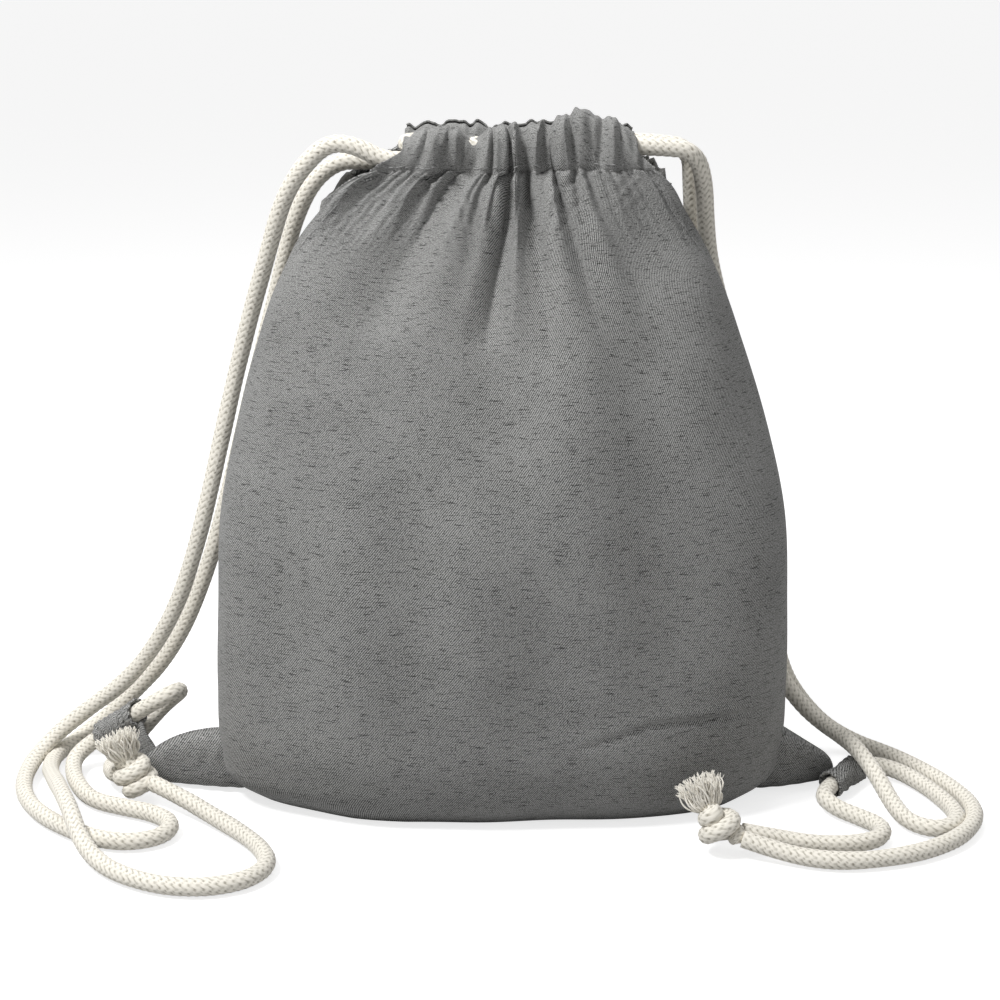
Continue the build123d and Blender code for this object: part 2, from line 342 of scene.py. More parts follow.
def joined(name, pieces):
    """Several pieces made one."""
    for o in bpy.context.selected_objects:
        o.select_set(False)
    for o in pieces:
        o.select_set(True)
    bpy.context.view_layer.objects.active = pieces[0]
    bpy.ops.object.join()
    piece = bpy.context.view_layer.objects.active
    piece.name = name
    return piece


# ---------------------------------------------------------------- the bag's shape

def ring_table():
    """Level sections of the bag by height, each evenly spaced along its edge from the left seam."""
    heights = np.linspace(0, NECK, 260)
    angle = np.linspace(math.pi, 3 * math.pi, 721)
    c, s = np.cos(angle), np.sin(angle)
    unit_x = np.sign(c) * np.abs(c) ** (2 / ROUNDNESS)
    unit_y = np.sign(s) * np.abs(s) ** (2 / ROUNDNESS)
    share = np.linspace(0, 1, 721)
    table = np.zeros((len(heights), 721, 2))
    for i, z in enumerate(heights):
        half_x = BAG_WIDTH / 2 * hermite(z, BAG_SECTIONS[:, 0], BAG_SECTIONS[:, 1])
        half_y = BAG_DEPTH / 2 * hermite(z, BAG_SECTIONS[:, 0], BAG_SECTIONS[:, 2])
        x, y = half_x * unit_x, half_y * unit_y
        run = np.concatenate([[0], np.cumsum(np.hypot(np.diff(x), np.diff(y)))])
        shift = hermite(z, BAG_SECTIONS[:, 0], BAG_SECTIONS[:, 3])
        table[i, :, 0] = shift + np.interp(share, run / run[-1], x)
        table[i, :, 1] = np.interp(share, run / run[-1], y)
    return heights, table


HEIGHTS, RINGS = ring_table()


def bag_point(around, z):
    """Points of the bag's outside: around is 0 at the left seam, 0.25 at the front, 0.5 at the right seam."""
    around, z = np.broadcast_arrays(np.mod(around, 1.0), z)
    row = np.clip(np.interp(z, HEIGHTS, np.arange(len(HEIGHTS))), 0, len(HEIGHTS) - 1.0001)
    column = around * 720
    r, c = row.astype(int), np.minimum(column.astype(int), 719)
    fr, fc = (row - r)[..., None], (column - c)[..., None]
    low = RINGS[r, c] * (1 - fc) + RINGS[r, c + 1] * fc
    high = RINGS[r + 1, c] * (1 - fc) + RINGS[r + 1, c + 1] * fc
    xy = low * (1 - fr) + high * fr
    return np.concatenate([xy, z[..., None]], axis=-1)


def outward(points):
    """Unit normals of a grid of points, away from the bag's middle."""
    across = np.gradient(points, axis=1)
    up = np.gradient(points, axis=0)
    normal = np.cross(across, up)
    normal /= np.maximum(np.linalg.norm(normal, axis=-1, keepdims=True), 1e-9)
    middle = np.array([0.0, 0.0, 0.15])
    away = np.sum(normal * (points - middle), axis=-1, keepdims=True)
    return normal * np.where(away < 0, -1, 1)


# ---------------------------------------------------------------- folds

# Each fold: its path as (x, z), its half width and depth at the top, and how far it leans over.
FRONT_FOLDS = [
    ([(-0.0130, 0.358), (-0.0200, 0.338), (-0.0330, 0.318), (-0.0480, 0.298), (-0.0680, 0.240)],
     0.0058, 0.0100, 0.003),
    ([(-0.0040, 0.358), (-0.0042, 0.342), (-0.0055, 0.326)],
     0.0014, 0.0050, 0.001),
    ([(0.0032, 0.358), (0.0036, 0.335), (0.0015, 0.312), (-0.0028, 0.286), (-0.0080, 0.240)],
     0.0019, 0.0105, 0.003),
    ([(0.0115, 0.356), (0.0132, 0.338), (0.0180, 0.315), (0.0216, 0.290), (0.0240, 0.255), (0.0250, 0.220)],
     0.0034, 0.0100, -0.002),
    ([(0.0240, 0.360), (0.0255, 0.342), (0.0320, 0.322), (0.0390, 0.300), (0.0520, 0.240)],
     0.0030, 0.0105, -0.003),
    ([(0.0500, 0.364), (0.0512, 0.350), (0.0530, 0.336)],
     0.0012, 0.0050, 0.001),
    ([(-0.0250, 0.358), (-0.0280, 0.346), (-0.0340, 0.332)],
     0.0013, 0.0034, 0.001),
    ([(-0.0360, 0.356), (-0.0385, 0.345), (-0.0440, 0.334)],
     0.0011, 0.0028, 0.001),
    ([(0.0185, 0.358), (0.0200, 0.346), (0.0225, 0.334)],
     0.0010, 0.0032, 0.001),
    ([(0.0340, 0.362), (0.0365, 0.348), (0.0450, 0.326), (0.0560, 0.300)],
     0.0020, 0.0050, -0.002),
    ([(0.0590, 0.358), (0.0605, 0.346), (0.0650, 0.330)],
     0.0012, 0.0032, 0.001),
]


def random_folds(seed, count):
    """Folds for the side that hangs free: spread over the mouth, fanning outwards as they fade."""
    draw = random.Random(seed)
    folds = []
    for i in range(count):
        top = CASING_LEFT + (i + draw.uniform(0.25, 0.75)) / count * (CASING_RIGHT - CASING_LEFT)
        fan = 1.0 + draw.uniform(0.5, 1.0)
        foot = draw.uniform(0.262, 0.312)
        path = [(top, 0.358), (top, 0.338), (top + (top - 0.01) * (fan - 1) * 0.4, (0.338 + foot) / 2)]
        path.append((top + (top - 0.01) * (fan - 1), foot))
        width, deep, over = draw.uniform(0.0018, 0.0042), draw.uniform(0.005, 0.0095), draw.uniform(-0.003, 0.003)
        folds.append((path, width, deep, over))
    return folds


BACK_FOLDS = random_folds(5, 9)


def fold_depth(x, z, folds):
    """How far folds draw the cloth in at (x, z), and how far they push it sideways."""
    depth = np.zeros(np.broadcast(x, z).shape)
    lean = np.zeros_like(depth)
    for path, width, deep, over in folds:
        path = sorted(path, key=lambda p: p[1])
        xs, zs = np.array([p[0] for p in path]), np.array([p[1] for p in path])
        middle = np.where(z > zs[-1], xs[-1], hermite(np.clip(z, zs[0], zs[-1]), zs, xs))
        up = np.clip((z - zs[0]) / (zs[-1] - zs[0]), 0, 1)
        fade = up ** 0.65 * step(up, 0.0, 0.30)
        reach = width * (1 + 2.6 * (1 - up) ** 1.3)
        q = (x - middle) / reach
        depth += deep * fade * (np.exp(-np.abs(q) ** 1.5) - 0.34 * np.exp(-((np.abs(q) - 2.1) / 1.0) ** 2))
        lean += over * fade * np.exp(-((np.abs(q) - 0.8) / 0.9) ** 2)
    return depth, lean


def gathers(x, z, seed):
    """Small crowded pleats below the mouth."""
    near = step(z, 0.285, 0.338)
    return near * 0.0010 * waves(x * (1 + 1.2 * (1 - near)), z * 0.2, seed, 5, 420, 1100)


def soft_shape(x, z, seed):
    """Slack and fullness of the filled bag: broad upright swells and dents."""
    amount = 0.0021 * step(z, 0.03, 0.12) + 0.0006
    broad = waves(x, z, seed, 5, 18, 60)
    upright = waves(x, z * 0.35, seed + 1, 5, 50, 130) * 0.85
    return amount * (broad + upright)


# ---------------------------------------------------------------- panels

def wall_heights():
    """Rows of the wall, closer together towards the mouth and at the foot."""
    t = np.linspace(0, 1, WALL_ROWS)
    return WALL_TOP * (0.62 * t + 0.38 * (1 - (1 - t) ** 2.2)) * (1 - 0.10 * np.sin(math.pi * t) * (1 - t))


def panel_grid(front):
    """The outside of one panel as a grid, from the bottom seam over the front of the casing to the rim."""
    u = np.linspace(-1, 1, COLUMNS)
    z = wall_heights()[:, None]
    slit = step(z, SLIT_FOOT, SLIT_FOOT + 0.035)
    if front:
        around = 0.25 + 0.25 * u[None, :] * (1 - SLIT_OPENING * slit)
    else:
        around = 0.75 + 0.25 * u[None, :] * (1 + (SLIT_OPENING + 0.06) * slit)
    wall = bag_point(around, z)
    normal = outward(wall)
    x, zz = wall[..., 0], wall[..., 2]
    seed = 11 if front else 31
    folds = FRONT_FOLDS if front else BACK_FOLDS
    depth, lean = fold_depth(x, zz, folds)
    edge = np.abs(u)[None, :]
    inner = step(edge, 0.97, 0.80)
    push = soft_shape(x, zz, seed) * inner + gathers(x, zz, seed + 3) * step(edge, 1.0, 0.93) - depth - 0.0008
    if front:
        push += lower_crease(x, zz) + SLIT_BAND * slit * step(edge, 0.885, 0.905)
    else:
        push -= 0.0042 * step(edge, 0.80, 0.88) * slit
        push += side_ribs(u[None, :], zz) * slit
    wall = wall + normal * push[..., None]
    wall[..., 0] += lean
    turn = np.linspace(math.radians(-34), math.radians(88), CASING_ROWS)[:, None]
    meeting = casing_place(wall[-1:, :, 0], turn[:1], front, 0.0012)
    wall = wall + (meeting - wall[-1:]) * (step(z, 0.292, WALL_TOP) ** 1.3)[..., None]
    wall[..., 2] = np.maximum(wall[..., 2], 0.0)
    share = np.linspace(0, 1, BASE_ROWS + 1)[:-1, None]
    base = np.repeat(wall[0][None], BASE_ROWS, axis=0)
    base[..., 1] *= share
    base[..., 2] = 0.0
    half = (CASING_RIGHT - CASING_LEFT) / 2
    across = (CASING_LEFT + CASING_RIGHT) / 2 + half * u[None, :] * (1 if front else -1)
    settle = step(np.arange(CASING_ROWS), 0, 14)[:, None]
    cx = wall[-1, :, 0][None] * (1 - settle) + across * settle
    casing = casing_place(cx, turn, front, 0.0012)
    grid = np.concatenate([base, wall, casing])
    cloth_x = u[None, :] * 0.190 + np.zeros((len(grid), 1))
    run = np.linalg.norm(np.diff(grid[:, COLUMNS // 2], axis=0), axis=1)
    along = np.concatenate([[0], np.cumsum(run)])[:, None] + np.zeros((1, COLUMNS))
    return grid, np.stack([cloth_x, along], axis=-1), normal


def lower_crease(x, z):
    """A fine pressed crease across the lower right of the front."""
    line = np.where(x < 0.080, 0.050 + (x - 0.040) * 0.28, 0.0612 - (x - 0.080) * 0.02)
    along = step(x, 0.034, 0.050) * step(x, 0.142, 0.128)
    near = (z - line) / 0.0022
    return along * (0.0009 * np.exp(-((near - 1.2) ** 2)) - 0.0016 * np.exp(-(near * 1.6) ** 2))


def side_ribs(u, z):
    """Level ribs where the back panel's slit edge is drawn up on the cord."""
    right = step(-u, 0.78, 0.86)
    left = step(u, 0.78, 0.88)
    ribs = np.sin(2 * math.pi * z / 0.0046)
    wide = np.sin(2 * math.pi * z / 0.0085 + 1.0)
    return 0.0018 * right * ribs + 0.0020 * left * wide


def ear_half(side, front):
    """One panel's share of a bottom corner, pressed flat past the filling."""
    half = BAG_WIDTH / 2
    reach, top, full = LEFT_EAR if side < 0 else RIGHT_EAR
    rows, columns = 22, 26
    out = np.linspace(0, 1, columns)[None, :]
    up = np.linspace(0, 1, rows)[:, None]
    if side < 0:
        crown = top * (1 - 0.10 * out - 0.55 * out ** 3.2)
    else:
        crown = top * (1 - 0.62 * out)
    end = 1 - 0.10 * (2 * up - 0.8) ** 2
    x = half - EAR_OVERLAP + (reach + EAR_OVERLAP) * out * end
    z = crown * up + 0.0006
    plump = full * (1 - out ** 1.5) + 0.0012
    thick = plump * np.sqrt(np.clip(1 - (2 * up - 1) ** 4, 0, 1)) + 0.0005
    thick = thick * np.where(out > 0.97, 0.5, 1.0)
    dents = 0.0012 * np.sin(40 * out * reach / 0.05 + 3 * up) * np.sin(5 * up + 1) * (1 - out)
    y = (-1 if front else 1) * (thick + dents * np.sqrt(np.clip(1 - (2 * up - 1) ** 2, 0, 1))) + 0 * x
    lie = 0.010 * out ** 1.5
    points = np.stack([side * x, y + lie, z + 0 * x], axis=-1)
    uv = np.stack([side * (x + 0 * z), z + 0 * x], axis=-1)
    flip = (side > 0) == front
    return points.reshape(-1, 3), grid_faces(rows, columns, flip=not flip), uv.reshape(-1, 2)


def make_panel(name, front):
    """A whole panel: its wall, its base and its share of both corners."""
    grid, uv, normal = panel_grid(front)
    rows = len(grid)
    wall = new_piece(name, grid.reshape(-1, 3), grid_faces(rows, COLUMNS), uv.reshape(-1, 2))
    parts = [wall]
    for side in (-1, 1):
        points, faces, ear_uv = ear_half(side, front)
        parts.append(new_piece(name + "_ear", points, faces, ear_uv))
    panel = joined(name, parts)
    return thicken(panel, CLOTH), grid, normal


# ---------------------------------------------------------------- casings round the mouth

RIM = [(-0.050, 0.3530), (-0.030, 0.3568), (-0.012, 0.3545), (0.002, 0.3580), (0.020, 0.3590),
       (0.032, 0.3625), (0.040, 0.3660), (0.047, 0.3625), (0.057, 0.3610), (0.064, 0.3570), (0.070, 0.3530)]


def casing_place(x, turn, front, grow):
    """Places on a gathered casing: turn is 0 on its outer line and a quarter turn on its rim."""
    folds = FRONT_FOLDS if front else BACK_FOLDS
    depth, lean = fold_depth(x + 0 * turn, 0.3445 + 0.0125 * np.sin(turn) + 0 * x, folds)
    seed = 51 if front else 61
    small = waves(x, 0 * x, seed, 6, 500, 1500)
    broad = waves(x, 0 * x, seed + 1, 4, 90, 260)
    rims = np.array(RIM)
    front_top = hermite(np.clip(x, rims[0, 0], rims[-1, 0]), rims[:, 0], rims[:, 1])
    top = front_top if front else 0.3575 + 0.0012 * broad
    low = 0.3315 + 0.0006 * small
    half_z, middle = (top - low) / 2, (top + low) / 2
    ends = np.minimum(x - CASING_LEFT, CASING_RIGHT - x)
    tight = 0.80 + 0.20 * step(ends, 0.0, 0.012)
    out, up = np.cos(turn), np.sin(turn)
    deep = np.where(out > 0, 0.0108, 0.0072) * tight * (1 + 0.07 * broad)
    crease = np.clip(depth * 0.95, -0.0022, 0.0050) * np.clip(out * 1.3 + 0.15, 0, 1)
    crumple = 0.0007 * small * np.clip(out + 0.5, 0, 1)
    crumple = crumple + 0.0008 * waves(x, turn * 0.004, seed + 2, 5, 200, 600)
    reach = CASING_Y + np.sign(out) * np.abs(out) ** 0.8 * (deep + grow) - crease + crumple
    y = (-1 if front else 1) * reach
    dip = (0.34 * np.maximum(depth, 0) + 0.0006 * small) * np.clip(up, 0, 1)
    z = middle + np.sign(up) * np.abs(up) ** 0.85 * (half_z * tight + grow) - dip
    across = x + lean * np.clip(out, 0, 1) * 0.8 + 0 * turn
    return np.stack(np.broadcast_arrays(across, y, z), axis=-1)


def casing_grid(front):
    """A gathered tube of cloth round the cords, its rim uneven and creased."""
    columns, rows = 250, 60
    x = np.linspace(CASING_LEFT - 0.0005, CASING_RIGHT + 0.0005, columns)[None, :]
    turn = np.linspace(0, 2 * math.pi, rows, endpoint=False)[:, None]
    points = casing_place(x, turn, front, -0.0006)
    uv = np.stack(np.broadcast_arrays(x * 2.6, turn / (2 * math.pi) * 0.058), axis=-1)
    return points, uv


def make_casing(name, front):
    """The gathered casing as one piece of cloth."""
    points, uv = casing_grid(front)
    rows, columns = points.shape[:2]
    looped = np.concatenate([points, points[:1]])
    last = uv[:1].copy()
    last[..., 1] += 0.058
    looped_uv = np.concatenate([uv, last])
    faces = grid_faces(rows + 1, columns, flip=not front)
    piece = new_piece(name, looped.reshape(-1, 3), faces, looped_uv.reshape(-1, 2))
    weld = piece.modifiers.new("weld", "WELD")
    weld.merge_threshold = 1e-6
    finished(piece)
    return thicken(piece, CLOTH)


# ---------------------------------------------------------------- rope

def smooth_line(name, route):
    """Points along the smooth curve that the route controls, read from Blender's own spline."""
    curve = bpy.data.curves.new(name, "CURVE")
    curve.dimensions = "3D"
    curve.resolution_u = 24
    spline = curve.splines.new("NURBS")
    spline.points.add(len(route) - 1)
    for point, place in zip(spline.points, route):
        point.co = (*place, 1.0)
    spline.order_u = 3
    spline.use_endpoint_u = True
    carrier = bpy.data.objects.new(name, curve)
    bpy.context.collection.objects.link(carrier)
    graph = bpy.context.evaluated_depsgraph_get()
    graph.update()
    mesh = bpy.data.meshes.new_from_object(carrier.evaluated_get(graph))
    line = np.array([v.co for v in mesh.vertices])
    bpy.data.objects.remove(carrier)
    bpy.data.meshes.remove(mesh)
    return line


def evenly(line, gap):
    """The same line with even steps."""
    run = np.concatenate([[0], np.cumsum(np.linalg.norm(np.diff(line, axis=0), axis=1))])
    count = max(int(run[-1] / gap), 8)
    at = np.linspace(0, run[-1], count)
    return np.stack([np.interp(at, run, line[:, k]) for k in range(3)], axis=1), at


def carried_frames(line):
    """Two directions across the line at each point, turned as little as the line allows."""
    along = np.gradient(line, axis=0)
    along /= np.linalg.norm(along, axis=1, keepdims=True)
    first = np.cross(along[0], (0.0, 0.3, 1.0))
    first /= np.linalg.norm(first)
    sides = [first]
    for i in range(1, len(line)):
        v = sides[-1] - along[i] * np.dot(sides[-1], along[i])
        sides.append(v / np.linalg.norm(v))
    sides = np.array(sides)
    return sides, np.cross(along, sides)


def braid_height(angle, run):
    """Height of the braid's slanting strands, from 0 in a gap to 1 on a crown."""
    q = angle / (2 * math.pi) * BRAID_COLUMNS
    column = np.floor(q)
    f = q - column - 0.5
    lean = np.where(column % 2 == 0, 1.0, -1.0)
    t = run / BRAID_PITCH + lean * f * 0.95
    g = t - np.floor(t) - 0.5
    across = 1 - 0.65 * np.abs(2 * f) ** 2.5
    along = 1 - 0.95 * np.abs(2 * g) ** 3
    return np.clip(across * along, 0, 1)


def make_rope(name, line, radius=CORD / 2, gap=ROPE_STEP, ends=1.0):
    """A braided cord along a line, its strands in relief."""
    line, run = evenly(line, gap)
    side, over = carried_frames(line)
    angle = np.linspace(0, 2 * math.pi, ROPE_AROUND, endpoint=False) + 2 * math.pi / ROPE_AROUND / 2
    height = braid_height(angle[None, :], run[:, None])
    wobble = 0.018 * waves(run[:, None] * 1.0, angle[None, :] * 0.0, 7, 5, 60, 240)
    reach = radius * (0.945 + wobble + 0.15 * (height - 0.40))
    if ends < 1:
        tail = np.minimum(run, run[-1] - run)[:, None]
        reach = reach * (ends + (1 - ends) * step(tail, 0, radius * 1.4))
    spoke = np.cos(angle)[None, :, None] * side[:, None] + np.sin(angle)[None, :, None] * over[:, None]
    points = line[:, None] + spoke * reach[..., None]
    rows = len(line)
    faces = grid_faces(rows, ROPE_AROUND, around=True, flip=False)
    first, last = rows * ROPE_AROUND, rows * ROPE_AROUND + 1
    for c in range(ROPE_AROUND):
        d = (c + 1) % ROPE_AROUND
        faces.append((d, c, first))
        faces.append(((rows - 1) * ROPE_AROUND + c, (rows - 1) * ROPE_AROUND + d, last))
    cloud = np.concatenate([points.reshape(-1, 3), line[:1], line[-1:]])
    uv = np.stack(np.broadcast_arrays(angle[None, :] * radius, run[:, None]), axis=-1).reshape(-1, 2)
    uv = np.concatenate([uv, [[0, 0]], [[0, run[-1]]]])
    rope = new_piece(name, cloud, faces, uv)
    # The crown heights also set where the cotton material paints shade in the braid's gaps.
    crowns = rope.data.attributes.new("crown", "FLOAT", "POINT")
    crowns.data.foreach_set("value", np.concatenate([height.ravel(), [0.5, 0.5]]).astype(np.float32))
    return rope, line


def make_knot(name, centre, axis, turns, start):
    """Cord wound tight on itself, with one strand crossing the wraps."""
    axis = Vector(axis).normalized()
    side = axis.cross(Vector((0.2, 1.0, 0.3))).normalized()
    over = axis.cross(side)
    wound = []
    count = int(turns * 10)
    for i in range(count + 1):
        t = i / count
        angle = start + 2 * math.pi * turns * t
        radius = 0.0068 + 0.0012 * math.sin(5 * t)
        climb = (t - 0.5) * 0.0150
        spoke = side * radius * math.cos(angle) + over * radius * math.sin(angle)
        wound.append(Vector(centre) + spoke + axis * climb)
    top = Vector(centre) + axis * 0.0095
    wound += [top + side * 0.002, Vector(centre) - side * 0.0015 + axis * 0.002]
    wound.append(Vector(centre) - axis * 0.006)
    line = smooth_line(name, [tuple(p) for p in wound])
    knot, _ = make_rope(name, line, radius=0.0046, gap=0.0008, ends=0.5)
    return knot


def make_tassel(name, neck, tip, seed, spread, count=260):
    """Loose yarn ends standing out of a knot as a fan."""
    draw = random.Random(seed)
    neck, tip = Vector(neck), Vector(tip)
    axis = (tip - neck).normalized()
    side = axis.cross(Vector((0.0, 1.0, 0.2))).normalized()
    over = axis.cross(side)
    length = (tip - neck).length
    points, faces, uvs = [], [], []
    around, rows = 5, 9
    for _ in range(count):
        turn, out = draw.uniform(0, 2 * math.pi), math.sqrt(draw.random())
        across = side * math.cos(turn) + over * math.sin(turn)
        bend = (side * draw.uniform(-1, 1) + over * draw.uniform(-1, 1)) * 0.0016
        reach = length * draw.uniform(0.72, 1.12) * (1 - 0.15 * out)
        thin = draw.uniform(0.00035, 0.00060)
        curl = draw.uniform(0.9, 2.4)
        start = len(points)
        for r in range(rows):
            t = r / (rows - 1)
            flare = 0.0028 + (spread - 0.0028) * (t ** 0.7)
            wave = bend * math.sin(math.pi * t * curl) * 1.5
            middle = neck - axis * 0.003 + axis * (reach + 0.003) * t + across * out * flare + wave
            for a in range(around):
                phi = 2 * math.pi * a / around
                size = thin * (1 - 0.5 * t ** 3)
                points.append(middle + (side * math.cos(phi) + over * math.sin(phi)) * size)
                uvs.append((phi * thin, reach * t))
        faces += grid_faces(rows, around, start=start, around=True)
        faces.append(tuple(start + a for a in reversed(range(around))))
        faces.append(tuple(start + (rows - 1) * around + a for a in range(around)))
    return new_piece(name, points, faces, uvs)


# ---------------------------------------------------------------- corner tabs

def make_tab(name, low, high, foot, seed):
    """A loop of cloth round the cord, creased, with two tails down to the corner seam."""
    low, high, foot = Vector(low), Vector(high), Vector(foot)
    axis = (high - low).normalized()
    middle = (low + high) / 2
    down = (foot - middle) - axis * (foot - middle).dot(axis)
    tail = down.length
    down.normalize()
    wide = axis.cross(down)
    rows, columns = 40, 64
    half = 0.0155
    points, uvs = [], []
    for r in range(rows):
        s = (r / (rows - 1) * 2 - 1)
        for c in range(columns):
            t = c / (columns - 1) * 2 - 1
            angle = t * math.radians(158)
            crease = 0.0005 * math.sin(19 * s + 4 * t + seed) + 0.0004 * math.sin(31 * s * t + seed)
            radius = 0.0066 + crease + 0.0006 * s * s
            ring = wide * math.sin(angle) * radius - down * math.cos(angle) * radius
            slant = 0.0015 * math.sin(3 * t + seed)
            points.append(middle + axis * (half * s + slant) + ring)
            uvs.append((half * s, radius * angle))
    sleeve = new_piece(name, points, grid_faces(rows, columns, flip=True), uvs)
    rows, columns = 14, 22
    points, uvs = [], []
    for r in range(rows):
        t = r / (rows - 1)
        for c in range(columns):
            s = c / (columns - 1) * 2 - 1
            shift = (foot - middle).dot(axis) * t
            narrow = half * (1 - 0.40 * t)
            lift = wide * (0.0011 * math.sin(6 * t + 2 * s + seed) + 0.0004)
            points.append(middle + down * (0.0050 + (tail - 0.0042) * t) + axis * (narrow * s + shift) + lift)
            uvs.append((narrow * s, tail * t))
    tails = new_piece(name + "_tail", points, grid_faces(rows, columns), uvs)
    tails = thicken(tails, 0.0022, offset=0.0)
    return joined(name, [thicken(sleeve, CLOTH), tails])


# ---------------------------------------------------------------- inner strips

def make_strip(name, panel, rows, columns, inset):
    """A band of cloth lying just inside a panel, between two rows and two columns of it."""
    grid, normal = panel
    inside = grid[BASE_ROWS:BASE_ROWS + WALL_ROWS] - normal * inset
    points = inside[rows[0]:rows[1], columns[0]:columns[1]]
    count_r, count_c = points.shape[:2]
    faces = grid_faces(count_r, count_c)
    uv = np.stack(np.broadcast_arrays(points[..., 0], points[..., 2]), axis=-1)
    piece = new_piece(name, points.reshape(-1, 3), faces, uv.reshape(-1, 2))
    return thicken(piece, CLOTH)


def make_fin(name, side, low, high):
    """A side seam's allowance: a narrow band standing in from the seam inside the bag."""
    z = np.linspace(low, high, 60)[:, None]
    edge = bag_point(0.0 if side < 0 else 0.5, z[:, 0])[:, 0][:, None]
    inward = np.linspace(0.0020, 0.0095, 8)[None, :]
    x = edge - side * inward
    y = 0.0007 * np.sin(60 * z + 9 * inward / 0.008) + 0 * inward
    points = np.stack(np.broadcast_arrays(x, y, z), axis=-1)
    uv = np.stack(np.broadcast_arrays(inward, z), axis=-1)
    piece = new_piece(name, points.reshape(-1, 3), grid_faces(60, 8), uv.reshape(-1, 2))
    return thicken(piece, 0.0020, offset=0.0)


def make_bottom_fin(name):
    """The bottom seam's allowance, standing up along the bag's floor."""
    reach = bag_point(0.5, np.array([0.010]))[0, 0] - 0.004
    x = np.linspace(-reach, reach, 120)[None, :]
    up = np.linspace(0.0016, 0.0090, 8)[:, None]
    y = 0.0009 * np.sin(70 * x + 3) * up / 0.009
    points = np.stack(np.broadcast_arrays(x, y, up), axis=-1)
    uv = np.stack(np.broadcast_arrays(x, up), axis=-1)
    piece = new_piece(name, points.reshape(-1, 3), grid_faces(8, 120), uv.reshape(-1, 2))
    return thicken(piece, 0.0020, offset=0.0)


# ---------------------------------------------------------------- materials

def node_tree(tree):
    """Short ways to add and join nodes in one tree."""
    def add(kind, inputs=(), **settings):
        node = tree.nodes.new(kind)
        for key, value in settings.items():
            setattr(node, key, value)
        for key, value in dict(inputs).items():
            if hasattr(value, "is_output"):
                tree.links.new(value, node.inputs[key])
            else:
                node.inputs[key].default_value = value
        return node
    return add


def yarn_group():
    """Melange twill: takes a place in metres on the cloth, gives its colour and its relief."""
    group = bpy.data.node_groups.new("melange_twill", "ShaderNodeTree")
    face = group.interface
    face.new_socket("Place", in_out="INPUT", socket_type="NodeSocketVector")
    face.new_socket("Dark", in_out="INPUT", socket_type="NodeSocketColor")
    face.new_socket("Light", in_out="INPUT", socket_type="NodeSocketColor")
    face.new_socket("Color", in_out="OUTPUT", socket_type="NodeSocketColor")
    face.new_socket("Height", in_out="OUTPUT", socket_type="NodeSocketFloat")
    add = node_tree(group)
    inside, outside = add("NodeGroupInput"), add("NodeGroupOutput")
    place = inside.outputs["Place"]

    def stretched(across, along, scale, detail, name):
        moved = add("ShaderNodeVectorMath", {0: place, 1: (across, along, 1.0)}, operation="MULTIPLY", name=name)
        place_on = moved.outputs[0]
        return add("ShaderNodeTexNoise", {"Vector": place_on, "Scale": scale, "Detail": detail, "Roughness": 0.6})

    level = stretched(120.0, 1300.0, 1.0, 2.0, "weft_slubs")
    upright = stretched(1500.0, 220.0, 1.0, 2.0, "warp_slubs")
    cloud = stretched(22.0, 30.0, 1.0, 3.0, "mottle")
    grain = stretched(1250.0, 1500.0, 1.0, 1.0, "grain")
    turned = add("ShaderNodeVectorRotate", {"Vector": place, "Angle": math.radians(38)}, rotation_type="Z_AXIS")
    diagonal = add(
        "ShaderNodeTexWave", {"Vector": turned.outputs[0], "Scale": 310.0, "Distortion": 1.2, "Detail": 1.0},
        wave_type="BANDS", bands_direction="X")
    slub = add("ShaderNodeMapRange", {"Value": level.outputs["Fac"], "From Min": 0.59, "From Max": 0.64})
    fleck = add("ShaderNodeMapRange", {"Value": upright.outputs["Fac"], "From Min": 0.62, "From Max": 0.71})
    specks = add("ShaderNodeMath", {0: slub.outputs[0], 1: fleck.outputs[0]}, operation="MAXIMUM")
    middle = {"From Min": 0.3, "From Max": 0.7}
    even = add("ShaderNodeMapRange", {"Value": cloud.outputs["Fac"], **middle, "To Min": -0.06, "To Max": 0.06})
    fine = add("ShaderNodeMapRange", {"Value": grain.outputs["Fac"], **middle, "To Min": -0.34, "To Max": 0.34})
    twill = add("ShaderNodeMapRange", {"Value": diagonal.outputs["Fac"], "To Min": 0.12, "To Max": 0.92})
    total = add("ShaderNodeMath", {0: twill.outputs[0], 1: even.outputs[0]}, operation="ADD")
    total = add("ShaderNodeMath", {0: total.outputs[0], 1: fine.outputs[0]}, operation="ADD")
    darker = add("ShaderNodeMath", {0: specks.outputs[0], 1: 0.50}, operation="MULTIPLY")
    total = add("ShaderNodeMath", {0: total.outputs[0], 1: darker.outputs[0]}, operation="SUBTRACT", use_clamp=True)
    mixed = add("ShaderNodeMix", {"Factor": total.outputs[0]}, data_type="RGBA")
    group.links.new(inside.outputs["Dark"], mixed.inputs[6])
    group.links.new(inside.outputs["Light"], mixed.inputs[7])
    group.links.new(mixed.outputs[2], outside.inputs["Color"])
    relief = add("ShaderNodeMath", {0: diagonal.outputs["Fac"], 1: grain.outputs["Fac"]}, operation="ADD")
    group.links.new(relief.outputs[0], outside.inputs["Height"])
    return group


